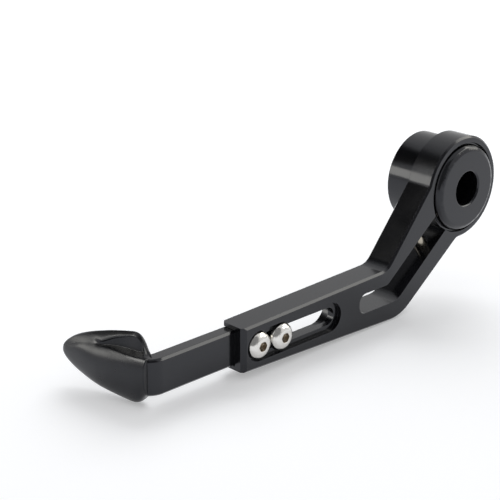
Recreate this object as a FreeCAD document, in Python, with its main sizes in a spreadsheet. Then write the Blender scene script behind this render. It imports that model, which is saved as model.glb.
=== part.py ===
import FreeCAD, Part
import Sketcher
import math
import os

# A lever guard for the end of a handlebar: a cranked arm clamped round a turned hub,
# with a sliding tip bar that carries a moulded fin in front of the lever.
# X runs along the lower half of the arm, Y along the handlebar, which is on the +Y side, and Z is up.
# The origin is the centre of the hub's seat face.

V = FreeCAD.Vector
AXIS_Y = V(0, 1, 0)
AXIS_Z = V(0, 0, 1)
SAME = 0.01
doc = FreeCAD.newDocument("lever_guard")
sheet = doc.addObject("Spreadsheet::Sheet", "Sizes")

# Sizes, in millimetres and degrees
SIZES = [
    ("hub_dia", 32.5, "hub, outside diameter"),
    ("hub_standoff", 11.0, "seat face to the back of the arm"),
    ("bolt_dia", 6.6, "hole for the handlebar bolt"),
    ("bolt_seat", 8.0, "thickness left under the bolt head"),
    ("access_dia", 12.2, "bore for the bolt head"),
    ("rim_dia", 31.0, "front rim of the hub"),
    ("rim_groove", 1.0, "depth of the groove round the rim"),
    ("rim_crown_dia", 29.6, "front rim, where its rounding meets its bevel"),
    ("rim_crown", 1.25, "front rim, height of its rounding ahead of the arm"),
    ("label_dia", 26.4, "flat front of the hub"),
    ("label_proud", 2.1, "flat front ahead of the arm"),
    ("hub_break", 0.5, "broken edges of the hub"),
    ("arm_thick", 10.5, "arm, thickness"),
    ("eye_dia", 37.2, "round eye, outside diameter"),
    ("hub_clear", 0.05, "radial clearance of the hub in the eye"),
    ("axis_drop", 30.13, "hub axis down to the tip bar's centre line"),
    ("end_reach", 107.25, "hub axis to the arm's free end"),
    ("end_height", 15.2, "height of the arm at its free end"),
    ("inner_bend_x", 39.4, "inside corner of the crank, back from the axis"),
    ("inner_bend_z", 20.9, "inside corner of the crank, below the axis"),
    ("outer_bend_x", 31.2, "outside corner of the crank, back from the axis"),
    ("outer_bend_z", 40.5, "outside corner of the crank, below the axis"),
    ("inner_neck_x", 11.4, "inner edge where it runs into the eye"),
    ("inner_neck_z", 12.2, "inner edge where it runs into the eye"),
    ("outer_neck_x", 8.35, "outer edge where it runs into the eye"),
    ("outer_neck_z", 11.1, "outer edge where it runs into the eye"),
    ("inner_bend_r", 6.5, "inside radius of the crank"),
    ("outer_bend_r", 15.0, "outside radius of the crank"),
    ("neck_r", 4.0, "radius between eye and outer edge"),
    ("arm_break", 0.7, "broken edges of the arm"),
    ("end_break", 1.5, "broken upright edges at the free end"),
    ("split_angle", 38.2, "direction of the split below the eye"),
    ("split_upper", 3.36, "upper side of the split, from the hub axis"),
    ("split_lower", 5.54, "lower side of the split, from the hub axis"),
    ("window_end", 53.2, "far end of the window, back from the axis"),
    ("window_low", 33.6, "lower side of the window, below the axis"),
    ("window_high", 26.4, "upper side of the window, below the axis"),
    ("window_r", 3.0, "corner radius of the window"),
    ("window_bend_r", 8.0, "radius of the window where its lower side turns up"),
    ("screw_dia", 5.0, "tip screws, thread"),
    ("screw_head_dia", 9.5, "tip screws, head"),
    ("screw_head_high", 2.75, "tip screws, head height"),
    ("screw_socket", 3.0, "tip screws, hexagon across flats"),
    ("screw_socket_deep", 1.6, "tip screws, hexagon depth"),
    ("screw_head_rim", 0.3, "tip screws, straight rim of the head"),
    ("screw_short", 0.4, "tip screws, end short of the bar's back"),
    ("screw_set", 7.35, "free end of the arm to the first tip screw"),
    ("screw_pitch", 10.0, "distance between the tip screws"),
    ("slide_travel", 22.0, "travel of the tip bar"),
    ("slot_spare", 0.2, "play of the screws at each end of the slot"),
    ("head_clear", 0.5, "radial room for the screw heads"),
    ("shank_clear", 0.6, "radial room for the screw shanks"),
    ("head_recess", 1.4, "depth of the slot's upper step"),
    ("overcut", 1.0, "cutting tools past the face that they open"),
    ("front_wall", 4.0, "wall between the channel and the front"),
    ("bar_thick", 5.4, "tip bar, thickness"),
    ("bar_height", 12.2, "tip bar, height"),
    ("bar_clear", 0.15, "room round the tip bar in the channel"),
    ("bar_break", 0.8, "broken edges of the tip bar"),
    ("bar_tail", 6.1, "tip bar past its second screw"),
    ("bar_tail_r", 6.05, "radius of the tip bar's inner end"),
    ("tail_room", 2.0, "room past the tip bar's inner end in the channel"),
    ("bar_reach", 29.3, "free end of the arm to the start of the tip's bend"),
    ("bend_inner_r", 1.2, "inside radius of the tip's bend"),
    ("fin_angle", 14.0, "fin, lean outward from the handlebar direction"),
    ("bar_insert", 4.0, "length of the bar after the bend"),
    ("fin_lap", 3.4, "fin root before the end of the bend"),
    ("thread_clear", 0.05, "radial gap drawn between thread and hole"),
    ("fin_skin", 1.3, "fin wall over the outside of the bar"),
    ("fin_back", 1.3, "fin wall behind the bar"),
    ("fin_wing", 2.4, "thickness of the fin's upper wing"),
    ("fin_length", 34.7, "fin, root to tip"),
    ("fin_top", 11.6, "fin, top corner above the bar's centre line"),
    ("fin_low", 8.6, "fin, lowest point below the bar's centre line"),
    ("fin_root_in", 2.8, "foot of the wing, in from the fin's root"),
    ("fin_top_in", 7.6, "top corner of the wing, in from the fin's root"),
    ("fin_tip_z", 0.3, "fin tip above the bar's centre line"),
    ("fin_tip_half", 2.05, "half the height of the fin's blunt tip"),
    ("fin_tip_round", 1.05, "rounding of the fin's blunt tip"),
    ("fin_ridge", 6.7, "top of the fin's bulge above the bar's centre line"),
    ("fin_crown", 1.1, "rise of the fin's upper edge over its chord"),
    ("fin_keel", 3.1, "sag of the fin's lower edge under its chord"),
    ("fin_slope", 5.4, "thinning of the bulge toward the tip"),
    ("fin_scoop", 1.4, "depth of the scoop in the wing"),
    ("fin_scoop_rim", 1.2, "rim left round the scoop"),
    ("fin_round", 1.7, "rounding of the bulge"),
    ("fin_root_back", 3.4, "fin, how far its root is cut back behind the bar"),
    ("pinch_dia", 5.0, "pinch screw, thread"),
    ("pinch_head_dia", 8.5, "pinch screw, head"),
    ("pinch_head_high", 5.0, "pinch screw, head height"),
    ("pinch_length", 18.0, "pinch screw, length under the head"),
    ("pinch_socket", 4.0, "pinch screw, hexagon across flats"),
    ("pinch_socket_deep", 2.75, "pinch screw, hexagon depth"),
    ("pinch_head_clear", 0.3, "radial room for the pinch screw's head"),
    ("pinch_run_out", 6.0, "counterbore past the pinch screw's head"),
    ("thread_spare", 0.8, "thread past the pinch screw's end"),
    ("pinch_set", 24.2, "pinch screw from the hub axis, along the split"),
    ("pinch_seat", 8.5, "seat of the pinch screw's head from the split's line"),
]
for row, (alias, value, note) in enumerate(SIZES, start=1):
    sheet.set("A%d" % row, note)
    sheet.set("B%d" % row, str(value))
    sheet.setAlias("B%d" % row, alias)
scratch = doc.addObject("Spreadsheet::Sheet", "Scratch")
doc.recompute()


def size(alias):
    return float(getattr(sheet, alias))


def named(text):
    """Turn bare size names into references to the sheet."""
    for alias, value, note in sorted(SIZES, key=lambda s: -len(s[0])):
        text = text.replace("@" + alias, "Sizes." + alias)
    return text


def bind(obj, prop, text):
    obj.setExpression(prop, named(text))


def new_body(name):
    body = doc.addObject("PartDesign::Body", name)
    body.Label = name
    return body


def new_sketch(body, name, role, offset="0"):
    """A sketch on one of the body's own planes, moved along the plane's normal."""
    sketch = body.newObject("Sketcher::SketchObject", name)
    plane = [f for f in body.Origin.OriginFeatures if f.Role == role][0]
    sketch.AttachmentSupport = [(plane, "")]
    sketch.MapMode = "FlatFace"
    bind(sketch, "AttachmentOffset.Base.z", "(%s) * 1 mm" % offset)
    return sketch


def value_of(text):
    """The present value of an expression, used to draw a sketch near its final place."""
    scratch.set("A1", "=" + named(text))
    scratch.recompute()
    return float(scratch.get("A1"))


def fix_point(sketch, geo, pos, x_text, y_text):
    """Tie one sketch point to two expressions measured from the sketch origin."""
    at = sketch.getPoint(geo, pos)
    for kind, text, here in (("DistanceX", x_text, at.x), ("DistanceY", y_text, at.y)):
        number = sketch.addConstraint(Sketcher.Constraint(kind, -1, 1, geo, pos, here))
        bind(sketch, "Constraints[%d]" % number, text)


def polygon(sketch, corners, bulges=()):
    """A closed outline through named corners; bulges turn a side into an arc through a third named point."""
    arcs = dict(bulges)
    spots = [V(value_of(x), value_of(y), 0) for x, y in corners]
    count = len(corners)
    ends = []
    for i in range(count):
        start, stop = spots[i], spots[(i + 1) % count]
        if i in arcs:
            middle = V(value_of(arcs[i][0]), value_of(arcs[i][1]), 0)
            curve = Part.Arc(start, middle, stop)
            geo = sketch.addGeometry(curve, False)
            flipped = (sketch.getPoint(geo, 1) - start).Length > (sketch.getPoint(geo, 2) - start).Length
            ends.append((geo, 2, 1) if flipped else (geo, 1, 2))
            mark = sketch.addGeometry(Part.Point(middle), True)
            fix_point(sketch, mark, 1, arcs[i][0], arcs[i][1])
            sketch.addConstraint(Sketcher.Constraint("PointOnObject", mark, 1, geo))
        else:
            geo = sketch.addGeometry(Part.LineSegment(start, stop), False)
            ends.append((geo, 1, 2))
    for i in range(count):
        geo, first, last = ends[i]
        follow = ends[(i + 1) % count]
        sketch.addConstraint(Sketcher.Constraint("Coincident", geo, last, follow[0], follow[1]))
    for i in range(count):
        fix_point(sketch, ends[i][0], ends[i][1], corners[i][0], corners[i][1])


def circle(sketch, x_text, y_text, dia_text):
    at = V(value_of(x_text), value_of(y_text), 0)
    geo = sketch.addGeometry(Part.Circle(at, V(0, 0, 1), value_of(dia_text) / 2), False)
    fix_point(sketch, geo, 3, x_text, y_text)
    number = sketch.addConstraint(Sketcher.Constraint("Diameter", geo, value_of(dia_text)))
    bind(sketch, "Constraints[%d]" % number, dia_text)


def oblong(sketch, x0, x1, y, radius):
    """A slot outline: two straight sides closed by half circles at named centres."""
    polygon(sketch, [(x0, "%s + %s" % (y, radius)), (x0, "%s - (%s)" % (y, radius)),
                     (x1, "%s - (%s)" % (y, radius)), (x1, "%s + %s" % (y, radius))],
            [(0, ("%s - (%s)" % (x0, radius), y)), (2, ("%s + %s" % (x1, radius), y))])


def pad(body, sketch, length, back=False):
    feature = body.newObject("PartDesign::Pad", sketch.Name + "_pad")
    feature.Profile = sketch
    bind(feature, "Length", length)
    feature.Reversed = back
    body.Tip = feature
    doc.recompute()
    return feature


def pocket(body, sketch, length=None, back=False):
    feature = body.newObject("PartDesign::Pocket", sketch.Name + "_cut")
    feature.Profile = sketch
    if length is None:
        feature.Type = "ThroughAll"
        feature.Midplane = True
    else:
        bind(feature, "Length", length)
        feature.Reversed = back
    body.Tip = feature
    doc.recompute()
    return feature


def edges_where(feature, test):
    return ["Edge%d" % (i + 1) for i, e in enumerate(feature.Shape.Edges) if test(e)]


def upright(e, axis):
    """True for a straight edge along the given axis."""
    if e.Curve.TypeId != "Part::GeomLine":
        return False
    return abs(abs(e.Curve.Direction.dot(axis)) - 1) < 1e-6


def near(e, x, z, reach=0.3):
    """True for an edge whose middle lies over a point of the XZ plane."""
    c = e.CenterOfMass
    return math.hypot(c.x - x, c.z - z) < reach


def dress(body, kind, name, edges, amount):
    shaped = body.Tip
    feature = body.newObject("PartDesign::" + kind, name)
    feature.Base = (shaped, edges)
    bind(feature, "Radius" if kind == "Fillet" else "Size", amount)
    body.Tip = feature
    doc.recompute()
    return feature


# Hub: one turned piece with the bolt's bore, a shoulder for its head and a bevelled front rim
hub = new_body("hub")
front = "(@hub_standoff + @arm_thick)"
face = "(%s + @label_proud)" % front
profile = new_sketch(hub, "hub_profile", "XY_Plane")
polygon(profile, [
    ("@bolt_dia / 2", "0"),
    ("@hub_dia / 2 - @hub_break", "0"),
    ("@hub_dia / 2", "-@hub_break"),
    ("@hub_dia / 2", "-%s + @rim_groove" % front),
    ("@rim_dia / 2", "-%s + @rim_groove" % front),
    ("@rim_dia / 2", "-%s" % front),
    ("@rim_crown_dia / 2", "-%s - @rim_crown" % front),
    ("@label_dia / 2", "-%s" % face),
    ("@access_dia / 2 + @hub_break", "-%s" % face),
    ("@access_dia / 2", "-%s + @hub_break" % face),
    ("@access_dia / 2", "-@bolt_seat"),
    ("@bolt_dia / 2", "-@bolt_seat"),
])
turned = hub.newObject("PartDesign::Revolution", "hub_turned")
turned.Profile = profile
turned.ReferenceAxis = (profile, ["V_Axis"])
turned.Angle = 360
hub.Tip = turned
doc.recompute()

# Arm: a cranked plate with a round eye
arm = new_body("arm")
outline = new_sketch(arm, "arm_outline", "XZ_Plane", "@hub_standoff")
polygon(outline, [
    ("-@end_reach", "-@axis_drop - @end_height / 2"),
    ("-@outer_bend_x", "-@outer_bend_z"),
    ("@outer_neck_x", "-@outer_neck_z"),
    ("-@inner_neck_x", "@inner_neck_z"),
    ("-@inner_bend_x", "-@inner_bend_z"),
    ("-@end_reach", "-@axis_drop + @end_height / 2"),
])
pad(arm, outline, "@arm_thick")
eye = new_sketch(arm, "arm_eye", "XZ_Plane", "@hub_standoff")
circle(eye, "0", "0", "@eye_dia")
pad(arm, eye, "@arm_thick")

corner = edges_where(arm.Tip, lambda e: upright(e, AXIS_Y)
                     and near(e, -size("outer_bend_x"), -size("outer_bend_z")))
dress(arm, "Fillet", "crank_outside", corner, "@outer_bend_r")
corner = edges_where(arm.Tip, lambda e: upright(e, AXIS_Y)
                     and near(e, -size("inner_bend_x"), -size("inner_bend_z")))
dress(arm, "Fillet", "crank_inside", corner, "@inner_bend_r")
eye_r = size("eye_dia") / 2
corner = edges_where(arm.Tip, lambda e: upright(e, AXIS_Y)
                     and abs(math.hypot(e.CenterOfMass.x, e.CenterOfMass.z) - eye_r) < SAME
                     and e.CenterOfMass.z < -e.CenterOfMass.x - eye_r / 2)
dress(arm, "Fillet", "neck_outside", corner, "@neck_r")
corner = edges_where(arm.Tip, lambda e: upright(e, AXIS_Z)
                     and abs(e.CenterOfMass.x + size("end_reach")) < SAME)
dress(arm, "Chamfer", "free_end_break", corner, "@end_break")

# Broken edges round the whole outline, front and back
y_back = -size("hub_standoff")
y_front = -size("hub_standoff") - size("arm_thick")


def on_outline(e):
    ys = [v.Y for v in e.Vertexes]
    flat = all(abs(y - y_back) < SAME for y in ys) or all(abs(y - y_front) < SAME for y in ys)
    return flat and e.CenterOfMass.x > -size("end_reach") + 2 * size("end_break")


dress(arm, "Chamfer", "outline_break", edges_where(arm.Tip, on_outline), "@arm_break")

# The eye's bore and the long window that splits it
bore = new_sketch(arm, "eye_bore", "XZ_Plane", "@hub_standoff")
circle(bore, "0", "0", "@hub_dia + 2 * @hub_clear")
pocket(arm, bore)
run_x, run_z = "cos(@split_angle * 1 deg)", "sin(@split_angle * 1 deg)"
upper_x = "-@split_upper * %s" % run_z
upper_z = "@split_upper * %s" % run_x
lower_x = "@split_lower * %s" % run_z
lower_z = "-@split_lower * %s" % run_x
slope = "tan(@split_angle * 1 deg)"
low_turn_x = "%s - (@window_low + %s) / %s" % (lower_x, lower_z, slope)
high_turn_x = "%s - (@window_high + %s) / %s" % (upper_x, upper_z, slope)
window = new_sketch(arm, "arm_window", "XZ_Plane", "@hub_standoff")
polygon(window, [
    (upper_x, upper_z),
    (high_turn_x, "-@window_high"),
    ("-@window_end", "-@window_high"),
    ("-@window_end", "-@window_low"),
    (low_turn_x, "-@window_low"),
    (lower_x, lower_z),
])
cut = pocket(arm, window)
ends = [(-size("window_end"), -size("window_high")), (-size("window_end"), -size("window_low")),
        (value_of(high_turn_x), -size("window_high"))]
corner = edges_where(cut, lambda e: upright(e, AXIS_Y) and any(near(e, x, z) for x, z in ends))
dress(arm, "Fillet", "window_corners", corner, "@window_r")
low_turn = value_of(low_turn_x)
corner = edges_where(arm.Tip, lambda e: upright(e, AXIS_Y) and near(e, low_turn, -size("window_low")))
dress(arm, "Fillet", "window_bend", corner, "@window_bend_r")

# Channel for the tip bar in the back, and the stepped slot for its screws in the front
first = "-@end_reach + @screw_set"
last = "%s + @screw_pitch + @slide_travel" % first
half = "(@bar_height / 2 + @bar_clear)"
channel = new_sketch(arm, "bar_channel", "XZ_Plane", "@hub_standoff")
channel_in = "%s + @bar_tail + @tail_room - %s" % (last, half)
polygon(channel, [
    ("-@end_reach - @overcut", "-@axis_drop + %s" % half),
    ("-@end_reach - @overcut", "-@axis_drop - %s" % half),
    (channel_in, "-@axis_drop - %s" % half),
    (channel_in, "-@axis_drop + %s" % half),
], [(2, ("%s + %s" % (channel_in, half), "-@axis_drop"))])
pocket(arm, channel, "@arm_thick - @front_wall", back=True)
slot = new_sketch(arm, "screw_slot", "XZ_Plane", front)
slot_from = "%s - @slot_spare" % first
slot_to = "%s + @slot_spare" % last
oblong(slot, slot_from, slot_to, "-@axis_drop", "(@screw_dia / 2 + @shank_clear)")
pocket(arm, slot, "@front_wall + @overcut")
step = new_sketch(arm, "screw_step", "XZ_Plane", front)
oblong(step, slot_from, slot_to, "-@axis_drop", "(@screw_head_dia / 2 + @head_clear)")
pocket(arm, step, "@head_recess")

# Pinch screw across the split: its hole, counterbore and the screw itself share one axis
mid_y = "-(@hub_standoff + @arm_thick / 2)"
foot_x = "-@pinch_set * %s" % run_x
foot_z = "-@pinch_set * %s" % run_z


def along_pinch(obj, distance):
    """Stand a cylinder on the pinch axis; distance is measured toward the head."""
    bind(obj, "Placement.Base.x", "(%s + (%s) * %s) * 1 mm" % (foot_x, distance, run_z))
    bind(obj, "Placement.Base.y", "(%s) * 1 mm" % mid_y)
    bind(obj, "Placement.Base.z", "(%s - (%s) * %s) * 1 mm" % (foot_z, distance, run_x))
    obj.Placement.Rotation = FreeCAD.Rotation(AXIS_Y, 180 - size("split_angle"))
    bind(obj, "Placement.Rotation.Angle", "(180 - @split_angle) * 1 deg")


def bore_along_pinch(name, distance, dia, length):
    tool = arm.newObject("PartDesign::SubtractiveCylinder", name)
    bind(tool, "Radius", "(%s) / 2" % dia)
    bind(tool, "Height", length)
    along_pinch(tool, distance)
    arm.Tip = tool
    doc.recompute()


bore_along_pinch("pinch_thread", "@pinch_seat - @pinch_length - @thread_spare",
                 "@pinch_dia + 2 * @thread_clear", "@pinch_length + @thread_spare")
bore_along_pinch("pinch_head_room", "@pinch_seat",
                 "@pinch_head_dia + 2 * @pinch_head_clear", "@pinch_head_high + @pinch_run_out")

pinch_shank = doc.addObject("Part::Cylinder", "pinch_shank")
bind(pinch_shank, "Radius", "@pinch_dia / 2")
bind(pinch_shank, "Height", "@pinch_length + @pinch_head_high - @pinch_socket_deep")
along_pinch(pinch_shank, "@pinch_seat - @pinch_length")
pinch_head = doc.addObject("Part::Cylinder", "pinch_head")
bind(pinch_head, "Radius", "@pinch_head_dia / 2")
bind(pinch_head, "Height", "@pinch_head_high")
along_pinch(pinch_head, "@pinch_seat")
pinch_solid = doc.addObject("Part::MultiFuse", "pinch_solid")
pinch_solid.Shapes = [pinch_shank, pinch_head]
pinch_key = doc.addObject("Part::Prism", "pinch_key")
pinch_key.Polygon = 6
bind(pinch_key, "Circumradius", "@pinch_socket / sqrt(3)")
bind(pinch_key, "Height", "@pinch_socket_deep + @overcut")
along_pinch(pinch_key, "@pinch_seat + @pinch_head_high - @pinch_socket_deep")
pinch_screw = doc.addObject("Part::Cut", "pinch_screw")
pinch_screw.Base = pinch_solid
pinch_screw.Tool = pinch_key
pinch_screw.Label = "pinch_screw"

# Tip bar: a flat bar that slides in the channel and turns toward the handlebar
tip_bar = new_body("tip_bar")
bar_front = "(-%s + @front_wall)" % front
bar_rear = "(%s + @bar_thick)" % bar_front
bend_x = "(-@end_reach - @bar_reach)"
bend_y = "(%s + @bend_inner_r)" % bar_rear
turn = "((90 - @fin_angle) * 1 deg)"
outer_r = "(@bend_inner_r + @bar_thick)"
tail_x = "(%s + @screw_pitch + @bar_tail)" % first
fin_u = ("(-sin(@fin_angle * 1 deg))", "cos(@fin_angle * 1 deg)")


def on_bend(radius, part=1.0, run="0"):
    """A point of the bend at a radius, part of the way round, then straight on along the fin."""
    angle = "(%s * %s)" % (turn, part)
    return ("%s - %s * sin(%s) + (%s) * %s" % (bend_x, radius, angle, run, fin_u[0]),
            "%s - %s * cos(%s) + (%s) * %s" % (bend_y, radius, angle, run, fin_u[1]))


plan = new_sketch(tip_bar, "bar_plan", "XY_Plane", "-@axis_drop - @bar_height / 2")
polygon(plan, [
    (tail_x, bar_rear),
    (tail_x, bar_front),
    (bend_x, bar_front),
    on_bend(outer_r),
    on_bend(outer_r, 1.0, "@bar_insert"),
    on_bend("@bend_inner_r", 1.0, "@bar_insert"),
    on_bend("@bend_inner_r"),
    (bend_x, bar_rear),
], [(2, on_bend(outer_r, 0.5)), (6, on_bend("@bend_inner_r", 0.5))])
pad(tip_bar, plan, "@bar_height")
corner = edges_where(tip_bar.Tip, lambda e: upright(e, AXIS_Y)
                     and e.CenterOfMass.x > value_of(tail_x) - SAME)
dress(tip_bar, "Fillet", "bar_tail_round", corner, "@bar_tail_r")
z_mid = -size("axis_drop")
half_bar = size("bar_height") / 2


def along_bar(e):
    """True for the long edges of the bar's top and bottom, along the straight part and round the bend."""
    level = all(abs(abs(v.Z - z_mid) - half_bar) < SAME for v in e.Vertexes)
    long_run = e.Length > size("bar_thick") + SAME
    curved = e.Curve.TypeId == "Part::GeomCircle"
    return level and not upright(e, AXIS_Z) and (long_run or curved)


dress(tip_bar, "Chamfer", "bar_edge_break", edges_where(tip_bar.Tip, along_bar), "@bar_break")
holes = new_sketch(tip_bar, "bar_holes", "XZ_Plane")
circle(holes, first, "-@axis_drop", "@screw_dia + 2 * @thread_clear")
circle(holes, "%s + @screw_pitch" % first, "-@axis_drop", "@screw_dia + 2 * @thread_clear")
pocket(tip_bar, holes)

# Tip screws: two button heads with hexagon sockets, drawn once and set at the slide's pitch
head_y = "(-%s + @head_recess)" % front
screw = new_body("tip_screw_one")
turn_plan = new_sketch(screw, "screw_profile", "XY_Plane")
screw_end = "@front_wall - @head_recess + @bar_thick - @screw_short"
# The domed head falls away in three steps, given as shares of its diameter and of its height
DOME = [(0.465, 0.46), (0.385, 0.80), (0.27, 1.0)]
polygon(turn_plan, [
    ("0", screw_end),
    ("@screw_dia / 2", screw_end),
    ("@screw_dia / 2", "0"),
    ("@screw_head_dia / 2", "0"),
    ("@screw_head_dia / 2", "-@screw_head_rim"),
] + [("@screw_head_dia * %s" % out, "-@screw_head_high * %s" % up) for out, up in DOME] + [
    ("0", "-@screw_head_high"),
])
turned = screw.newObject("PartDesign::Revolution", "screw_turned")
turned.Profile = turn_plan
turned.ReferenceAxis = (turn_plan, ["V_Axis"])
turned.Angle = 360
screw.Tip = turned
doc.recompute()
key = new_sketch(screw, "screw_socket_plan", "XZ_Plane", "@screw_head_high")
corner_r = "@screw_socket / sqrt(3)"
hexagon = range(0, 360, 60)
polygon(key, [("%s * cos(%d deg)" % (corner_r, a), "%s * sin(%d deg)" % (corner_r, a)) for a in hexagon])
pocket(screw, key, "@screw_socket_deep")
bind(screw, "Placement.Base.x", "(%s) * 1 mm" % first)
bind(screw, "Placement.Base.y", "%s * 1 mm" % head_y)
bind(screw, "Placement.Base.z", "-@axis_drop * 1 mm")
screw_copy = doc.addObject("Part::Mirroring", "tip_screw_two")
screw_copy.Source = screw
screw_copy.Normal = V(1, 0, 0)
bind(screw_copy, "Base.x", "(%s + @screw_pitch / 2) * 1 mm" % first)
tip_screws = doc.addObject("Part::Compound", "tip_screws")
tip_screws.Links = [screw, screw_copy]
tip_screws.Label = "tip_screws"

# Fin: a leaf-shaped wing with a bulge that wraps the bent end of the bar.
# Drawn in its own frame: x through the fin from the outside, y along it, z up from the bar's centre line.
fin_body = new_body("fin_body")
thick = "(@fin_skin + @bar_thick + @fin_back)"
tip_u = "@fin_length - @fin_tip_round"
tip_low = "@fin_tip_z - @fin_tip_half"
tip_high = "@fin_tip_z + @fin_tip_half"
# The upper and lower edges are arcs whose highest points lie a little toward the tip
CROWN_LEAN = 0.45
KEEL_LEAN = 0.2
leaf_top = ("(@fin_length + @fin_top_in) / 2 + @fin_crown * %s" % CROWN_LEAN,
            "(@fin_top + %s) / 2 + @fin_crown" % tip_high)
leaf_low = ("(@fin_length + @fin_root_in) / 2 + @fin_keel * %s" % KEEL_LEAN,
            "(%s - @fin_low) / 2 - @fin_keel" % tip_low)
wing = new_sketch(fin_body, "fin_wing_plan", "YZ_Plane", "%s - @fin_wing" % thick)
polygon(wing, [
    ("@fin_root_in", "0"),
    ("@fin_root_in", "-@fin_low"),
    (tip_u, tip_low),
    (tip_u, tip_high),
    ("@fin_top_in", "@fin_top"),
    ("@fin_root_in", "@fin_ridge"),
], [(1, leaf_low), (2, ("@fin_length", "@fin_tip_z")), (3, leaf_top)])
pad(fin_body, wing, "@fin_wing")
# The scoop is a hollow triangle with a bowed front, placed by shares of the fin's length and of the rim
SCOOP_END = 0.6
SCOOP_BOW = 0.42
BOW_RIMS = 2.3
FOOT_RIMS = 1.3
scoop = new_sketch(fin_body, "fin_scoop_plan", "YZ_Plane", "%s - @fin_wing" % thick)
polygon(scoop, [
    ("@fin_root_in + @fin_scoop_rim * %s" % FOOT_RIMS, "@fin_ridge"),
    ("@fin_length * %s" % SCOOP_END, "@fin_ridge"),
    ("@fin_top_in + @fin_scoop_rim", "@fin_top - @fin_scoop_rim"),
], [(1, ("@fin_length * %s" % SCOOP_BOW, "@fin_top - @fin_scoop_rim * %s" % BOW_RIMS))])
pocket(fin_body, scoop, "@fin_scoop", back=True)
# The bulge is skinned over cross sections: place along the fin as a share of its length, rise of its
# underside, fall of its top, thinning as a share of the whole slope, and cut-back of its rear as a share
STATIONS = [
    (0.0, 2.7, 0.0, 0.0, 1.0),
    (0.12, 0.1, 0.0, 0.0, 0.0),
    (0.40, 0.7, 0.0, 0.10, 0.0),
    (0.56, 1.4, -0.4, 0.22, 0.0),
    (0.72, 2.7, -0.6, 0.42, 0.0),
    (0.89, 5.1, 1.9, 0.74, 0.0),
    (0.975, 7.2, 4.5, 0.98, 0.0),
]
sections = []
for number, (place, rise, fall, slimmer, cut_back) in enumerate(STATIONS):
    thin = "@fin_slope * %s" % slimmer
    rear = "(%s - @fin_root_back * %s)" % (thick, cut_back)
    low = "(-@fin_low + %s)" % rise
    high = "(@fin_ridge - %s)" % fall
    section = new_sketch(fin_body, "fin_section_%d" % number, "XZ_Plane", "-@fin_length * %s" % place)
    polygon(section, [
        (rear, low),
        (rear, high),
        ("%s + @fin_round" % thin, high),
        ("%s + @fin_round" % thin, low),
    ], [(2, (thin, "(%s + %s) / 2" % (low, high)))])
    sections.append(section)
skin = fin_body.newObject("PartDesign::AdditiveLoft", "fin_bulge")
skin.Profile = sections[0]
skin.Sections = sections[1:]
fin_body.Tip = skin
doc.recompute()


def at_fin(obj):
    """Set an object at the fin's root, leaning with the bar's bent end."""
    root = on_bend("(%s + @fin_skin)" % outer_r, 1.0, "-@fin_lap")
    bind(obj, "Placement.Base.x", "(%s) * 1 mm" % root[0])
    bind(obj, "Placement.Base.y", "(%s) * 1 mm" % root[1])
    bind(obj, "Placement.Base.z", "-@axis_drop * 1 mm")
    obj.Placement.Rotation = FreeCAD.Rotation(AXIS_Z, size("fin_angle"))
    bind(obj, "Placement.Rotation.Angle", "@fin_angle * 1 deg")


at_fin(fin_body)
doc.recompute()
fin = doc.addObject("Part::Cut", "fin")
fin.Base = fin_body
fin.Tool = tip_bar
fin.Label = "fin"
doc.removeObject(scratch.Name)
doc.recompute()

PIECES = [hub, arm, pinch_screw, tip_bar, tip_screws, fin]
for obj in doc.Objects:
    if "Invalid" in obj.State or "Error" in obj.State:
        raise RuntimeError("feature %s did not build: %s" % (obj.Name, obj.State))
os.makedirs("parts", exist_ok=True)
for piece in PIECES:
    shape = piece.Shape
    if shape.isNull() or not shape.isValid():
        raise RuntimeError("piece %s has no valid shape" % piece.Label)
    shape.exportStep("parts/%s.step" % piece.Label)
    box = shape.BoundBox
    print("%s: %d solid(s), %.1f x %.1f x %.1f mm, %.1f cm3"
          % (piece.Label, len(shape.Solids), box.XLength, box.YLength, box.ZLength, shape.Volume / 1000))
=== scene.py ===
# %% [markdown]
# A lever guard for the end of a handlebar
#
# The solids of the guard come from the drawing as a fixed frame. Nothing in this lesson
# moves them. It softens their edges, draws the smooth skin of the fin, gives each piece its
# finish, and lights the whole as it would be lit on a photographer's white table.

# %% Load the frame
import math

import bpy
from mathutils import Matrix, Vector


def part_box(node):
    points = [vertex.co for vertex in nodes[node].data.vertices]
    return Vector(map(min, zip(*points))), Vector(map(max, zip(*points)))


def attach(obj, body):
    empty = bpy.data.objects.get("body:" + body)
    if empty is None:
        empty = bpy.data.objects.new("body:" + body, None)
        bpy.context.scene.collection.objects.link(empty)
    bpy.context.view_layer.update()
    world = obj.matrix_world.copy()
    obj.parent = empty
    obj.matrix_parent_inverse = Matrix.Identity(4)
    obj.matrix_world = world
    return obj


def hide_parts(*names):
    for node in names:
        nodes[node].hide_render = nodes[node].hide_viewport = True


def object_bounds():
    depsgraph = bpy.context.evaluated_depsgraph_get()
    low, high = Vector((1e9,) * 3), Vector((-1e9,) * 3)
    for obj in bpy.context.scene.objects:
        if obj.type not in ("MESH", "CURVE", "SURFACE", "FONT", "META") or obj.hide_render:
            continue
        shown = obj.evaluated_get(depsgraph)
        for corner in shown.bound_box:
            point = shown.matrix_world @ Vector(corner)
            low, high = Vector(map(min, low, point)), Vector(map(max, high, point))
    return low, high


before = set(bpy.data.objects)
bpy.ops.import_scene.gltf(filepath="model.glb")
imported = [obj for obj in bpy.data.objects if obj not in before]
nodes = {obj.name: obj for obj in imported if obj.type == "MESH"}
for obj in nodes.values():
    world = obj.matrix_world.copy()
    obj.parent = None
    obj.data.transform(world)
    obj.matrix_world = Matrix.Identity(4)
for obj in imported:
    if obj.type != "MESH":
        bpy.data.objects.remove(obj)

MM = 0.001
CAD_BOX = [list(corner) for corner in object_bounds()]
print("pieces:", sorted(nodes))
print("box of the solids, mm:", [[round(c / MM, 1) for c in corner] for corner in CAD_BOX])

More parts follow.
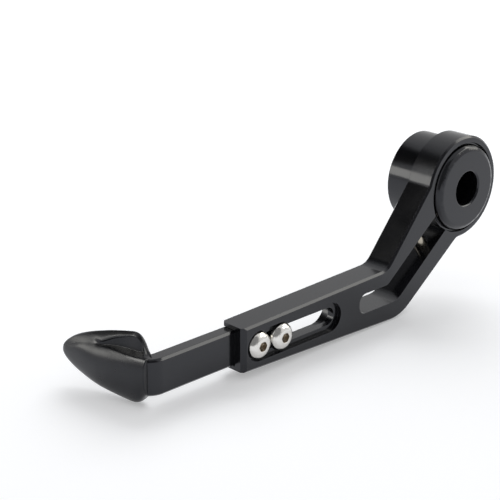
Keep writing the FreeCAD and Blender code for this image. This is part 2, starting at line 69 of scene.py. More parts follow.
# %% [markdown]
# Softened edges
#
# No edge of a real machined part is perfectly sharp: tumbling and anodising leave a tiny
# radius, and that radius is what catches the light as a thin bright line. The solids are
# made of many small triangles, so the triangles are first welded and the flat ones joined.
# Then a narrow bevel goes along every edge that turns by more than a set angle, and the
# shading follows the larger faces, so that flats stay flat and only the bevel rolls over.
# The screw heads are domes without one leading face, so they keep their plain smooth shading.
# It could be modelled by hand, but modifiers leave the solid itself untouched.

# %% Soften the edges of each piece
# For each piece: radius of its edges in mm, and the turn in degrees that makes an edge
EDGES = {
    "hub": (0.16, 32),
    "arm": (0.28, 15),
    "pinch_screw": (0.12, 30),
    "tip_bar": (0.20, 15),
    "tip_screws": (0.10, 45),
}
# Points closer than this, in mm, become one, and so do faces that turn by less than this
WELD = 0.0005
FLAT_ANGLE = math.radians(0.5)
EDGE_STEPS = 2
LARGER_FACES_ONLY = 100
DOMED = ("tip_screws",)


def soften(piece, radius, angle):
    """Join the flat triangles of a piece and round its edges, all in modifiers."""
    weld = piece.modifiers.new("weld", "WELD")
    weld.merge_threshold = WELD * MM
    flat = piece.modifiers.new("join_flats", "DECIMATE")
    flat.decimate_type = "DISSOLVE"
    flat.angle_limit = FLAT_ANGLE
    edge = piece.modifiers.new("round_edges", "BEVEL")
    edge.width = radius * MM
    edge.segments = EDGE_STEPS
    edge.limit_method = "ANGLE"
    edge.angle_limit = math.radians(angle)
    edge.use_clamp_overlap = True
    if piece.name not in DOMED:
        even = piece.modifiers.new("even_shading", "WEIGHTED_NORMAL")
        even.mode = "FACE_AREA"
        even.weight = LARGER_FACES_ONLY
    for face in piece.data.polygons:
        face.use_smooth = True


for name, (radius, angle) in EDGES.items():
    soften(nodes[name], radius, angle)
    print("edges of", name, "rounded by", radius, "mm")

# %% [markdown]
# Helpers for the finishes
#
# Finishes are built from shader nodes. A few small helpers keep the code readable: they
# place a node and fill its inputs, do a sum, and start or place a group with named sockets,
# so that an effect that several finishes share is built only once.

# %% Place a node, start a group
def add(tree, kind, values=None, **options):
    """Place one shader node; a value that is a socket is linked, any other is set."""
    made = tree.nodes.new("ShaderNode" + kind)
    for option, choice in options.items():
        setattr(made, option, choice)
    for socket, value in (values or {}).items():
        if isinstance(value, bpy.types.NodeSocket):
            tree.links.new(value, made.inputs[socket])
        else:
            made.inputs[socket].default_value = value
    return made


def math_node(tree, operation, first, second=0.0):
    """The result of one sum on two values or sockets."""
    return add(tree, "Math", {0: first, 1: second}, operation=operation).outputs[0]


def start_group(name, inputs, outputs):
    """An empty node group with named inputs and outputs."""
    group = bpy.data.node_groups.new(name, "ShaderNodeTree")
    for label, kind, value in inputs:
        socket = group.interface.new_socket(
            label, in_out="INPUT", socket_type="NodeSocket" + kind)
        socket.default_value = value
    for label, kind in outputs:
        group.interface.new_socket(label, in_out="OUTPUT", socket_type="NodeSocket" + kind)
    return group, group.nodes.new("NodeGroupInput"), group.nodes.new("NodeGroupOutput")


def place_group(tree, group, values):
    """Use a group in a finish, with this finish's own values."""
    made = tree.nodes.new("ShaderNodeGroup")
    made.node_tree = group
    for socket, value in values.items():
        made.inputs[socket].default_value = value
    return made


print("helpers ready")

# %% [markdown]
# Fine grain
#
# Anodised metal and moulded plastic both have a skin of very small hills: one from the
# blasting before the bath, the other from the spark-worn mould. A noise in the object's
# own coordinates gives it, so that it stays on the piece when the piece moves. A picture
# wrapped round the piece would do it too, but it would show its seams and its pixels. The
# group puts out the height for a bump and a slow cloud for handling marks. Sizes are in mm.

# %% Group: grain and handling marks
grain_group, put_in, put_out = start_group(
    "grain_and_handling",
    [("Grain Size", "Float", 0.15), ("Cloud Size", "Float", 12.0)],
    [("Height", "Float"), ("Clouds", "Float")])
tree = grain_group
place = add(tree, "TexCoord").outputs["Object"]
fine = math_node(tree, "DIVIDE", 1 / MM, put_in.outputs["Grain Size"])
slow = math_node(tree, "DIVIDE", 1 / MM, put_in.outputs["Cloud Size"])
hills = add(tree, "TexNoise", {
    "Vector": place, "Scale": fine, "Detail": 2.0, "Roughness": 0.6})
clouds = add(tree, "TexNoise", {
    "Vector": place, "Scale": slow, "Detail": 5.0, "Roughness": 0.62, "Distortion": 0.4})
tree.links.new(hills.outputs["Fac"], put_out.inputs["Height"])
tree.links.new(clouds.outputs["Fac"], put_out.inputs["Clouds"])
print("group:", grain_group.name)

# %% [markdown]
# Worn edges
#
# Anodising is thinnest on an edge, and handling polishes it there, so edges read a touch
# paler than the faces. A bevelled normal differs from the true one only near an edge, and
# that difference is the mask. A noise breaks it up, because wear is never even. Wear could
# be painted on by hand, but the mask follows any edge that the drawing may get.

# %% Group: worn edges
WEAR_GAIN = 9.0
BEVEL_SAMPLES = 8
wear_group, put_in, put_out = start_group(
    "worn_edges",
    [("Reach", "Float", 0.25), ("Break Up", "Float", 1.5)],
    [("Mask", "Float")])
tree = wear_group
place = add(tree, "TexCoord").outputs["Object"]
true_normal = add(tree, "NewGeometry").outputs["Normal"]
reach = math_node(tree, "MULTIPLY", put_in.outputs["Reach"], MM)
soft_normal = add(tree, "Bevel", {"Radius": reach}, samples=BEVEL_SAMPLES).outputs["Normal"]
alike = add(tree, "VectorMath", {0: true_normal, 1: soft_normal}, operation="DOT_PRODUCT")
turn = math_node(tree, "SUBTRACT", 1.0, alike.outputs["Value"])
patch = add(tree, "TexNoise", {
    "Vector": place,
    "Scale": math_node(tree, "DIVIDE", 1 / MM, put_in.outputs["Break Up"]),
    "Detail": 3.0})
strength = math_node(tree, "MULTIPLY", patch.outputs["Fac"], WEAR_GAIN)
uneven = math_node(tree, "MULTIPLY", turn, strength)
mask = math_node(tree, "MINIMUM", uneven, 1.0)
tree.links.new(mask, put_out.inputs["Mask"])
print("group:", wear_group.name)

# %% [markdown]
# Turning lines
#
# The hub and the screw heads come off a lathe, and a lathe leaves fine rings round its
# axis. The distance from the axis, added to the place along it, runs evenly over both the
# flat and the round faces, so one wave of that sum draws the rings on all of them. Two
# equal pieces side by side share a centre between them, each half a gap away from it. Rings
# cut into the mesh would need very many faces, and a bump looks the same at this size.

# %% Group: turning lines
turning_group, put_in, put_out = start_group(
    "turning_lines",
    [("Centre", "Vector", (0.0, 0.0, 0.0)), ("Half Gap", "Float", 0.0),
     ("Pitch", "Float", 0.2)],
    [("Height", "Float"), ("Distance", "Float")])
tree = turning_group
place = add(tree, "TexCoord").outputs["Object"]
offset = add(tree, "VectorMath", {0: place, 1: put_in.outputs["Centre"]}, operation="SUBTRACT")
parts = add(tree, "SeparateXYZ", {0: offset.outputs[0]}).outputs
sideways = math_node(tree, "ABSOLUTE", parts["X"])
aside = math_node(tree, "SUBTRACT", sideways, put_in.outputs["Half Gap"])
aside_squared = math_node(tree, "MULTIPLY", aside, aside)
height_squared = math_node(tree, "MULTIPLY", parts["Z"], parts["Z"])
around = math_node(tree, "SQRT", math_node(tree, "ADD", aside_squared, height_squared))
travel = math_node(tree, "ADD", around, parts["Y"])
waver = add(tree, "TexNoise", {
    "Vector": add(tree, "CombineXYZ", {"X": travel}).outputs[0],
    "Scale": math_node(tree, "DIVIDE", 1 / MM, put_in.outputs["Pitch"]),
    "Detail": 2.0})
tree.links.new(waver.outputs["Fac"], put_out.inputs["Height"])
tree.links.new(math_node(tree, "DIVIDE", around, MM), put_out.inputs["Distance"])
print("group:", turning_group.name)

# %% [markdown]
# Black anodised aluminium
#
# The arm, the tip bar and the hub are dyed black in the same bath. The dye sits in a
# hard, clear oxide, so the surface behaves like dark glass over metal: almost no colour
# of its own, and a clear reflection of the table and the sky. That is why the finish is
# a dark base with an ordinary reflection and not a metallic one. The reflection is tinted
# a little cool, as it is on the real dye.

# %% Finish: black anodised
BLACK = (0.0035, 0.0036, 0.0044, 1.0)
COOL = (0.90, 0.92, 1.0, 1.0)
PALE_EDGE = (0.075, 0.077, 0.084, 1.0)
EDGE_PALENESS = 0.55
RING_DEPTH = 0.16
BUMP_HEIGHT = 0.02 * MM
MIX_FIRST, MIX_SECOND, MIX_RESULT = 6, 7, 2  # sockets of the mix node that hold colours


def new_finish(name):
    """Start a material and hand back it, its node tree and its main shader."""
    finish = bpy.data.materials.new(name)
    finish.use_nodes = True
    tree = finish.node_tree
    tree.nodes.clear()
    shader = add(tree, "BsdfPrincipled")
    end = add(tree, "OutputMaterial")
    tree.links.new(shader.outputs[0], end.inputs["Surface"])
    return finish, tree, shader


def vary(tree, mask, low, high):
    """Spread a mask from 0 to 1 over a range of values."""
    spread = add(tree, "MapRange", {"Value": mask, "To Min": low, "To Max": high})
    return spread.outputs["Result"]


def blend_colours(tree, mask, first, second):
    """Mix two colours by a mask."""
    made = add(tree, "Mix", {0: mask, MIX_FIRST: first, MIX_SECOND: second}, data_type="RGBA")
    return made.outputs[MIX_RESULT]


def anodised(name, smooth, rough, grain_depth, ior, turned_round=None):
    """Dyed oxide on aluminium, with grain, handling marks, paler edges and, if turned, rings."""
    finish, tree, shader = new_finish(name)
    grain = place_group(tree, grain_group, {"Grain Size": 0.12, "Cloud Size": 14.0})
    wear = place_group(tree, wear_group, {"Reach": 0.28, "Break Up": 1.2})
    shade = math_node(tree, "MULTIPLY", wear.outputs["Mask"], EDGE_PALENESS)
    tree.links.new(blend_colours(tree, shade, BLACK, PALE_EDGE), shader.inputs["Base Color"])
    tree.links.new(vary(tree, grain.outputs["Clouds"], smooth, rough), shader.inputs["Roughness"])
    bump = add(tree, "Bump", {
        "Height": grain.outputs["Height"], "Strength": grain_depth, "Distance": BUMP_HEIGHT})
    if turned_round is not None:
        rings = place_group(tree, turning_group, {"Centre": turned_round, "Pitch": 0.22})
        bump = add(tree, "Bump", {
            "Height": rings.outputs["Height"], "Strength": RING_DEPTH, "Distance": BUMP_HEIGHT,
            "Normal": bump.outputs["Normal"]})
    tree.links.new(bump.outputs["Normal"], shader.inputs["Normal"])
    shader.inputs["IOR"].default_value = ior
    shader.inputs["Specular Tint"].default_value = COOL
    return finish


arm_finish = anodised("black_anodised_arm", smooth=0.12, rough=0.22, grain_depth=0.10, ior=1.50)
bar_finish = anodised("black_anodised_bar", smooth=0.10, rough=0.20, grain_depth=0.08, ior=1.52)
hub_finish = anodised("black_anodised_turned", smooth=0.09, rough=0.17, grain_depth=0.06,
                      ior=1.50, turned_round=(0.0, 0.0, 0.0))
print("finishes:", arm_finish.name, bar_finish.name, hub_finish.name)

# %% [markdown]
# The moulded fin
#
# The fin on the tip is a moulding, round all over: a bulge wraps the bent end of the bar,
# and a thin wing with a scoop in it rises behind the bulge. The drawing gives it in plain
# flats and arcs. Here it is drawn again as a cage: cross sections from root to tip, the same
# number of points in each, which a subdivision modifier turns into one smooth skin. Two lines
# must not melt away in it, the fold at the foot of the scoop and the scoop's rim, so their
# edges are creased. Sculpting would do it too, but a cage keeps every line in a table that
# can be read and changed.
#
# The fin begins at its root on the bent bar, runs toward the handlebar and leans outward. All
# tables give pairs of place along the fin and value, in mm. Height is counted from the middle
# of the bar, depth from the front of the bulge toward the back.

# %% Fin: where it sits and where it is cut across
FIN_ROOT = Vector((-143.393, -16.110, -30.130))
FIN_LEAN = math.radians(14)
PLACES = [0.0, 0.3, 1.3, 2.6, 3.8, 5.4, 7.2, 9.6, 12.5, 15.3, 17.3, 19.2, 21.0, 23.4, 26.2,
          28.8, 31.0, 32.8, 34.2, 35.1, 35.5]
print("fin:", len(PLACES), "sections on", PLACES[-1], "mm")

# %% Fin: lines of the bulge and the wing
# Heights of the two edges and of the shoulder, where the bulge ends and the wing begins
LOWER_EDGE = [(0, -5.4), (1.3, -6.5), (2.6, -8.3), (3.8, -9.4), (5.5, -10.1), (9.6, -9.65),
              (14.0, -9.1), (18.4, -8.45), (22.5, -7.6), (25.8, -6.5), (29.3, -5.4),
              (32.2, -4.05), (34.2, -2.7), (35.1, -1.8), (35.5, -1.0)]
UPPER_EDGE = [(0, 6.6), (1.3, 6.7), (2.6, 7.5), (3.8, 9.8), (5.4, 11.9), (7.2, 12.6),
              (10.8, 12.0), (16.7, 10.75), (22.6, 9.1), (25.7, 8.1), (28.7, 6.85),
              (31.2, 5.6), (33.0, 4.3), (34.2, 3.3), (35.1, 2.1), (35.5, 1.3)]
SHOULDER = [(0, 6.6), (3.6, 6.45), (8.0, 6.35), (15.3, 6.35), (17.3, 6.2), (19.2, 5.9),
            (21.0, 5.7), (23.4, 5.5), (26.2, 5.0), (28.8, 4.2), (31.0, 3.2), (32.8, 2.3),
            (35.5, 0.7)]
# Depths: of the shoulder behind the front, of the front, of the back and of the crest
SHOULDER_IN = [(0, 1.7), (7.5, 1.8), (12.5, 2.2), (17.3, 2.4), (21.0, 2.2), (26.2, 1.6),
               (31.0, 1.0), (34.2, 0.4), (35.5, 0.15)]
FRONT = [(0, 0.0), (4.2, 0.0), (13.9, 0.5), (19.4, 1.2), (25.0, 2.3), (30.9, 3.9),
         (34.2, 5.0), (35.5, 5.7)]
BACK = [(0, 4.8), (1.3, 6.6), (3.8, 7.8), (5.4, 8.0), (30.9, 8.0), (35.5, 7.3)]
TOP_FRONT = [(0, 4.2), (1.3, 5.2), (3.8, 5.9), (20.0, 6.0), (31.0, 6.0), (35.5, 6.0)]
print("root of the fin is", LOWER_EDGE[0][1], "to", UPPER_EDGE[0][1], "mm high")

# %% Fin: lines of the scoop
# Depth of its wall, height of its top, depth of its lip, and how far it is open, from 0 to 1
SCOOP_WALL = [(2.6, 6.4), (9.6, 6.8), (12.5, 6.6), (15.3, 6.0), (17.3, 5.4), (19.2, 4.7),
              (21.0, 3.9)]
SCOOP_TOP = [(2.6, 6.7), (3.8, 8.5), (5.4, 10.2), (7.2, 10.8), (9.6, 10.2), (12.5, 9.4),
             (15.3, 8.5), (17.3, 7.6), (19.2, 6.7), (21.0, 5.95)]
SCOOP_LIP = [(2.6, 5.6), (7.2, 5.6), (12.5, 5.3), (15.3, 4.9), (17.3, 4.6), (19.2, 4.15),
             (21.0, 3.75)]
SCOOP_OPEN = [(2.6, 0.0), (3.8, 1.0), (19.2, 1.0), (21.0, 0.3), (23.4, 0.0)]


def at(table, place):
    """Read a table of pairs at a place between its rows."""
    if place <= table[0][0]:
        return table[0][1]
    for (start, low), (stop, high) in zip(table, table[1:]):
        if place <= stop:
            return low + (high - low) * (place - start) / (stop - start)
    return table[-1][1]


tallest = max(at(UPPER_EDGE, place) - at(LOWER_EDGE, place) for place in PLACES)
print("fin is", round(tallest, 1), "mm high at most")

# %% [markdown]
# One cross section
#
# On the real fin every cut across it shows the same outline at another size: from the foot of
# the back round under the keel, up the round front to the shoulder, over the scoop to the
# crest, and down the back. Each cut could be drawn as its own curve. Here the same shares
# place the points of all of them, so the sections match point by point and the skin has no
# twist. Where the scoop ends, its points slide over to a plain wing.

# %% Fin: shares of a cross section
# Points of the front, each a share of a depth behind the front and a share of a height
KEEL = [(1.0, 0.10), (0.88, 0.01), (0.42, 0.0)]
CHIN = [(0.15, 0.07)]
CHEEK = [(0.02, 0.30), (0.0, 0.56)]
BROW = [(0.10, 1.70), (0.50, 0.62), (1.0, 0.0)]
CREST_DROP, BACK_DROP = 0.04, 0.07
WHOLE_DEPTH = 8.0
# The plain wing: steps from shoulder to crest, and how round it is
WING_STEPS = 8
WING_ROUND = 0.25
# The scoop: radius of its edges, width of its fold, start of its shelf, lean of its wall,
# and how far its rim stands forward and up
SCOOP_EDGE = 0.22
SCOOP_FOLD = 0.05
SHELF_START = 1.5 * SCOOP_EDGE
WALL_LEAN = 0.20
RIM_FORWARD, RIM_UP = 0.3, 0.1
print("points from keel to shoulder:", len(KEEL + CHIN + CHEEK + BROW))


# %% Fin: one cross section
def between(first, second, share):
    """The point at a share of the way from one point to another."""
    return tuple(a + (b - a) * share for a, b in zip(first, second))


def fin_section(place):
    """The points of one cross section, as depth and height."""
    low, high, ridge = at(LOWER_EDGE, place), at(UPPER_EDGE, place), at(SHOULDER, place)
    front, back, top = at(FRONT, place), at(BACK, place), at(TOP_FRONT, place)
    inset = at(SHOULDER_IN, place)
    deep, tall, bulge = WHOLE_DEPTH - front, high - low, ridge - low
    outside = [(front + d * (back - front), low + h * tall) for d, h in KEEL]
    outside += [(front + d * deep, low + h * tall) for d, h in CHIN]
    outside += [(front + d * deep, low + h * bulge) for d, h in CHEEK]
    outside += [(front + d * inset, ridge - h * inset) for d, h in BROW]
    edge, crest = outside[-1], (top, high - CREST_DROP * tall)
    plain = []
    for step in range(1, WING_STEPS):
        share = step / WING_STEPS
        rise = share + WING_ROUND * (math.sin(share * math.pi / 2) - share)
        plain.append((between(edge, crest, share)[0], between(edge, crest, rise)[1]))
    wall, lip, roof = at(SCOOP_WALL, place), at(SCOOP_LIP, place), at(SCOOP_TOP, place)
    foot, shelf = wall - WALL_LEAN * (roof - ridge), ridge - SCOOP_EDGE / 2
    hollow = [
        (edge[0] + SHELF_START, shelf),
        (foot - SCOOP_FOLD, shelf),
        (foot, shelf + SCOOP_FOLD),
        (wall, roof - SCOOP_EDGE),
        (wall - SCOOP_EDGE, roof),
        (lip, roof + SCOOP_EDGE),
        ((lip + crest[0]) / 2 - RIM_FORWARD, (roof + crest[1]) / 2 + RIM_UP),
    ]
    open_by = at(SCOOP_OPEN, place)
    wing = [between(shut, sunk, open_by) for shut, sunk in zip(plain, hollow)]
    return outside + wing + [crest, ((top + back) / 2, high), (back, high - BACK_DROP * tall)]


print("each section of the fin has", len(fin_section(0.0)), "points")

# %% [markdown]
# The skin of the fin
#
# The mould gives the real fin one unbroken skin. Here the sections are joined by rows of
# four-sided faces and closed at both ends, and the subdivision smooths them. A loft could do
# it as well; rows of faces are used because their edges can be creased along a part of the
# fin only.

# %% Fin: cage
# Points of a section whose lines are creased, and how much: the fold of the scoop, its rim
CRISP = {10: 0.9, 11: 0.9, 14: 0.65}
CRISP_FROM, CRISP_TO = 3.8, 19.2
corners = [(depth * MM, place * MM, height * MM)
           for place in PLACES for depth, height in fin_section(place)]
ring = len(fin_section(0.0))
faces = [tuple(reversed(range(ring)))]
for row in range(len(PLACES) - 1):
    here, there = row * ring, (row + 1) * ring
    for step in range(ring):
        after = (step + 1) % ring
        faces.append((here + step, here + after, there + after, there + step))
faces.append(tuple(range(len(corners) - ring, len(corners))))
cage = bpy.data.meshes.new("fin_moulding")
cage.from_pydata(corners, [], faces)
for face in cage.polygons:
    face.use_smooth = True
crease = cage.attributes.new("crease_edge", "FLOAT", "EDGE")
for line in cage.edges:
    start, stop = sorted(line.vertices)
    along = start % ring == stop % ring and stop - start == ring
    if along and CRISP_FROM <= PLACES[start // ring] and PLACES[stop // ring] <= CRISP_TO:
        crease.data[line.index].value = CRISP.get(start % ring, 0.0)
print("fin cage:", len(corners), "points,", len(faces), "faces")

# %% Fin: skin
SKIN_LEVEL = 3
fin_piece = bpy.data.objects.new("fin_moulding", cage)
bpy.context.scene.collection.objects.link(fin_piece)
fin_piece.matrix_world = Matrix.Translation(FIN_ROOT * MM) @ Matrix.Rotation(FIN_LEAN, 4, "Z")
skin = fin_piece.modifiers.new("smooth_skin", "SUBSURF")
skin.levels = SKIN_LEVEL
skin.render_levels = SKIN_LEVEL
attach(fin_piece, "tip")
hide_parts("fin")
print("fin root at", [round(c, 1) for c in FIN_ROOT], "mm")

# %% [markdown]
# Moulded plastic
#
# The fin is injection moulded in black plastic. It is a little paler and softer in its
# shine than the metal, and its grain is coarser. It could share the metal's finish, but
# then the two would look like one piece where the fin meets the bar.

# %% Finish: moulded fin
PLASTIC = (0.0055, 0.0055, 0.0063, 1.0)
PLASTIC_EDGE = (0.040, 0.040, 0.043, 1.0)
PLASTIC_PALENESS = 0.4
PLASTIC_SMOOTH, PLASTIC_ROUGH = 0.20, 0.32
PLASTIC_GRAIN = 0.16
PLASTIC_BUMP = 0.03 * MM
PLASTIC_IOR = 1.45
fin_finish, tree, shader = new_finish("moulded_black_plastic")
grain = place_group(tree, grain_group, {"Grain Size": 0.20, "Cloud Size": 9.0})
wear = place_group(tree, wear_group, {"Reach": 0.35, "Break Up": 2.0})
shade = math_node(tree, "MULTIPLY", wear.outputs["Mask"], PLASTIC_PALENESS)
tree.links.new(blend_colours(tree, shade, PLASTIC, PLASTIC_EDGE), shader.inputs["Base Color"])
dullness = vary(tree, grain.outputs["Clouds"], PLASTIC_SMOOTH, PLASTIC_ROUGH)
tree.links.new(dullness, shader.inputs["Roughness"])
bump = add(tree, "Bump", {
    "Height": grain.outputs["Height"], "Strength": PLASTIC_GRAIN, "Distance": PLASTIC_BUMP})
tree.links.new(bump.outputs["Normal"], shader.inputs["Normal"])
shader.inputs["IOR"].default_value = PLASTIC_IOR
shader.inputs["Specular Tint"].default_value = COOL
print("finish:", fin_finish.name)

# %% [markdown]
# Stainless steel
#
# The screws are bare stainless steel, turned and then tumbled. Steel is a true metal, so
# its colour is the colour of its reflection. Rings from the lathe run round each head,
# and the hexagon is coloured a darker brown, which a mask near the screw's axis gives. The
# shank of the pinch screw, down in the window, is a darker, browner steel. Both could be
# painted by hand; a mask by distance puts the dark brown in the middle of each head by itself.

# %% Finish: screws
STEEL = (0.74, 0.725, 0.70, 1.0)
# Darker, browner steel for the pinch screw, whose shank lies down in the window
DARKER_STEEL = (0.42, 0.385, 0.32, 1.0)
# Darker brown colour laid into the hexagon socket of each screw head, near its axis
SOCKET_BROWN = (0.36, 0.30, 0.23, 1.0)
# Distances from the axis in mm: full darker brown inside the first, plain steel beyond the second
SOCKET_EDGE, SOCKET_PLAIN = 1.45, 1.80
STEEL_SMOOTH, STEEL_ROUGH = 0.12, 0.26
STEEL_RINGS = 0.12


def steel(name, metal, centre, half_gap):
    """Turned stainless steel with rings round one axis, or round two axes a gap apart."""
    finish, tree, shader = new_finish(name)
    grain = place_group(tree, grain_group, {"Grain Size": 0.10, "Cloud Size": 3.0})
    rings = place_group(tree, turning_group, {
        "Centre": centre, "Half Gap": half_gap, "Pitch": 0.12})
    socket = add(tree, "MapRange", {
        "Value": rings.outputs["Distance"], "From Min": SOCKET_EDGE, "From Max": SOCKET_PLAIN,
        "To Min": 1.0, "To Max": 0.0})
    # The steel turns darker and browner toward the axis, in the hexagon socket
    colour = blend_colours(tree, socket.outputs[0], metal, SOCKET_BROWN)
    tree.links.new(colour, shader.inputs["Base Color"])
    dullness = vary(tree, grain.outputs["Clouds"], STEEL_SMOOTH, STEEL_ROUGH)
    tree.links.new(dullness, shader.inputs["Roughness"])
    bump = add(tree, "Bump", {
        "Height": rings.outputs["Height"], "Strength": STEEL_RINGS, "Distance": BUMP_HEIGHT})
    tree.links.new(bump.outputs["Normal"], shader.inputs["Normal"])
    shader.inputs["Metallic"].default_value = 1.0
    return finish


low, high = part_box("tip_screws")
middle = (low + high) / 2
head_width = high.z - low.z
screw_gap = (high.x - low.x - head_width) / 2
screw_finish = steel("stainless_heads", STEEL, (middle.x, 0.0, middle.z), screw_gap)
# The pinch screw is given the darker, browner steel
pinch_finish = steel("stainless_pinch", DARKER_STEEL, (0.0, 0.0, 0.0), 0.0)
print("finishes:", screw_finish.name, pinch_finish.name)

# %% [markdown]
# Each piece in its finish
#
# In the workshop each piece goes through its own bath or mould before the guard is put
# together. One table says which piece has which finish, so a change is made in one place.

# %% Give each piece its finish
FINISHES = {"hub": hub_finish, "arm": arm_finish, "pinch_screw": pinch_finish,
            "tip_bar": bar_finish, "tip_screws": screw_finish, "fin": fin_finish}
FINISHED = dict(nodes, fin=fin_piece)
for name, finish in FINISHES.items():
    mesh = FINISHED[name].data
    mesh.materials.clear()
    mesh.materials.append(finish)
    print(name, "is finished in", finish.name)

# %% [markdown]
# The table
#
# The guard lies on a plain white table. A white table would need a lot of light to come
# out white in the picture, and that light would wash out the black metal. So the table is
# lit at a plain level and adds a little glow of its own where the camera, a reflection or
# glass looks at it. The glow is the same everywhere, so the shadow stays. Lengths from here
# on are in metres.

# %% Floor
FLOOR_SIZE = 6.0
FLOOR_GAP = 0.0002
floor_level = CAD_BOX[0][2] - FLOOR_GAP
bpy.ops.mesh.primitive_grid_add(
    x_subdivisions=2, y_subdivisions=2, size=FLOOR_SIZE, location=(0, 0, floor_level))
floor = bpy.context.object
floor.name = "white_table"


def seen_directly(tree):
    """1 for camera, mirror and glass rays, 0 for the light that falls on other things."""
    path = add(tree, "LightPath").outputs
    direct = math_node(tree, "MAXIMUM", path["Is Camera Ray"], path["Is Glossy Ray"])
    return math_node(tree, "MAXIMUM", direct, path["Is Transmission Ray"])


TABLE = (0.80, 0.81, 0.83, 1.0)
GLOW = 0.30
table_paint = bpy.data.materials.new("table_paint")
table_paint.use_nodes = True
tree = table_paint.node_tree
tree.nodes.clear()
paint = add(tree, "BsdfDiffuse", {"Color": TABLE})
glow_seen = math_node(tree, "MULTIPLY", seen_directly(tree), GLOW)
glow = add(tree, "Emission", {"Color": (1, 1, 1, 1), "Strength": glow_seen})
both = add(tree, "AddShader", {0: paint.outputs[0], 1: glow.outputs[0]})
tree.links.new(both.outputs[0], add(tree, "OutputMaterial").inputs["Surface"])
floor.data.materials.append(table_paint)
print("table at", round(floor_level / MM, 2), "mm")

# %% [markdown]
# Light
#
# A large soft lamp hangs behind and above the guard, so its shadow falls softly toward the
# camera, and the sky is plain white. The other lamps are there for the reflections only, as
# strips of light are in a studio for shiny things. The softbox in front, to the right, draws
# the light line along the arm's chamfer and the bright arcs on the hub and the screw heads.
# Two strips on the left draw the light bands on the fin and the eye, and one on the right
# small points on the screw heads and the hub's rim. They are a little warm, which balances
# the cool tint of the black. A ready-made panorama could light it all too, but each lamp can
# be moved until its own line lies right.

# %% World and lamps
SKY_LIGHT = 0.55
SKY_SEEN = 0.8
WHITE = (1.0, 1.0, 1.0)
WARM = (1.0, 0.97, 0.86)
TARGET = Vector((-0.06, 0.0, -0.02))
world = bpy.data.worlds.new("white_room")
world.use_nodes = True
bpy.context.scene.world = world
tree = world.node_tree
tree.nodes.clear()
strength = vary(tree, seen_directly(tree), SKY_LIGHT, SKY_SEEN)
sky = add(tree, "Background", {"Color": (1, 1, 1, 1), "Strength": strength})
tree.links.new(sky.outputs[0], add(tree, "OutputWorld").inputs["Surface"])


def lamp(name, place, width, power, mirrored, height=None, colour=WHITE):
    """A soft lamp that looks at the guard, for general light or only to be mirrored."""
    light = bpy.data.lights.new(name, "AREA")
    light.size = width
    if height:
        light.shape = "RECTANGLE"
        light.size_y = height
    light.energy = power
    light.color = colour
    piece = bpy.data.objects.new(name, light)
    bpy.context.scene.collection.objects.link(piece)
    piece.location = place
    aim = TARGET - Vector(place)
    piece.rotation_euler = aim.to_track_quat("-Z", "Y").to_euler()
    piece.visible_glossy = mirrored
    piece.visible_diffuse = not mirrored


lamp("back_softbox", (0.75, 0.65, 0.85), width=0.9, power=12.0, mirrored=False)
lamp("front_softbox", (0.95, -0.55, 0.86), width=1.3, height=0.55, power=7.5, mirrored=True,
     colour=WARM)
lamp("low_strip", (-0.99, 0.86, 0.29), width=0.58, height=0.38, power=2.6, mirrored=True,
     colour=WARM)
lamp("high_strip", (-0.99, 0.42, 0.80), width=0.54, height=0.54, power=8.0, mirrored=True,
     colour=WARM)
lamp("right_strip", (1.11, -0.43, 0.35), width=0.60, height=0.25, power=1.2, mirrored=True,
     colour=WARM)

# %% [markdown]
# Black cards
#
# A shiny black part on a white table would mirror white on every side and lose its shape.
# Photographers hang black cards beside it, so that some faces go dark and its edges stand
# out. One card hangs behind, where the slanted top of the arm and the upper left of the hub
# look. The other stands for the dark room behind the camera, which gives the screw heads and
# the rim of the hub their dark side. The cards show only in reflections: the camera doesn't
# see them, and they take no light away. A darker sky would do it too, but it would darken
# every face alike.

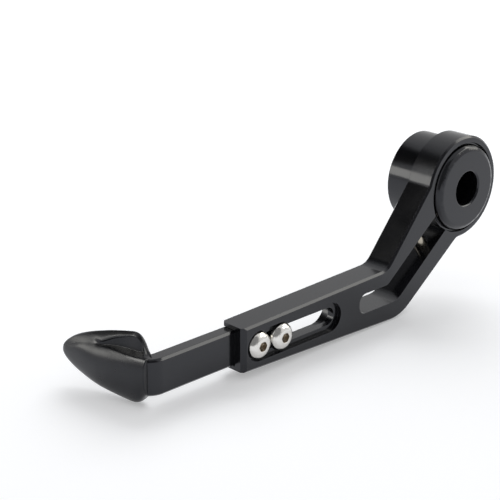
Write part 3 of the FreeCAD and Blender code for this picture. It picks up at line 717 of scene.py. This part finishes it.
# %% Black cards
def card_paint(name, tone):
    """A dull card of one tone."""
    paint = bpy.data.materials.new(name)
    paint.use_nodes = True
    tree = paint.node_tree
    tree.nodes.clear()
    dull = add(tree, "BsdfDiffuse", {"Color": (tone, tone, tone, 1.0)})
    tree.links.new(dull.outputs[0], add(tree, "OutputMaterial").inputs["Surface"])
    return paint


def dark_card(name, ends, foot, top, tone):
    """A standing card between two places on the ground, seen only by mirror rays."""
    low = [(x, y, foot) for x, y in ends]
    high = [(x, y, top) for x, y in reversed(ends)]
    mesh = bpy.data.meshes.new(name)
    mesh.from_pydata(low + high, [], [range(4)])
    mesh.materials.append(card_paint(name, tone))
    card = bpy.data.objects.new(name, mesh)
    bpy.context.scene.collection.objects.link(card)
    card.visible_camera = False
    card.visible_diffuse = False
    card.visible_shadow = False
    card.visible_transmission = False


# For each card: its two ends on the ground, the height of its foot and top, and its tone
CARDS = {
    "back_card": ([(0.25, 0.95), (-0.755, 0.72)], 0.46, 1.15, 0.01),
    "camera_card": ([(0.148, -1.182), (-1.219, -0.311)], 0.0, 2.2, 0.30),
}
for name, (ends, foot, top, tone) in CARDS.items():
    dark_card(name, ends, foot, top, tone)
print("cards hung:", sorted(CARDS))

# %% [markdown]
# Camera
#
# The camera stands where the photographer stood: in front of the guard's tip, about half
# a metre away and a little above it, with a long lens. The three directions of its frame
# and its place were found by matching known points of the guard in the picture. It could be
# set by eye, but a matched camera puts every edge where it belongs.

# %% Camera
CAMERA_PLACE = Vector((-0.38422, -0.31234, 0.15486))
CAMERA_RIGHT = Vector((0.72138, -0.69254, 0.00210))
CAMERA_UP = Vector((0.24203, 0.25495, 0.93617))
CAMERA_BACK = Vector((-0.64887, -0.67483, 0.35153))
FILM_WIDTH, FOCAL_LENGTH = 36.0, 101.64
NEAREST = 0.01
lens = bpy.data.cameras.new("camera")
lens.sensor_width = FILM_WIDTH
lens.lens = FOCAL_LENGTH
lens.clip_start = NEAREST
camera = bpy.data.objects.new("camera", lens)
bpy.context.scene.collection.objects.link(camera)
stand = Matrix((CAMERA_RIGHT, CAMERA_UP, CAMERA_BACK)).transposed().to_4x4()
stand.translation = CAMERA_PLACE
camera.matrix_world = stand
bpy.context.scene.camera = camera
bpy.context.scene.view_settings.view_transform = "Standard"
print("camera at", [round(c, 3) for c in CAMERA_PLACE])
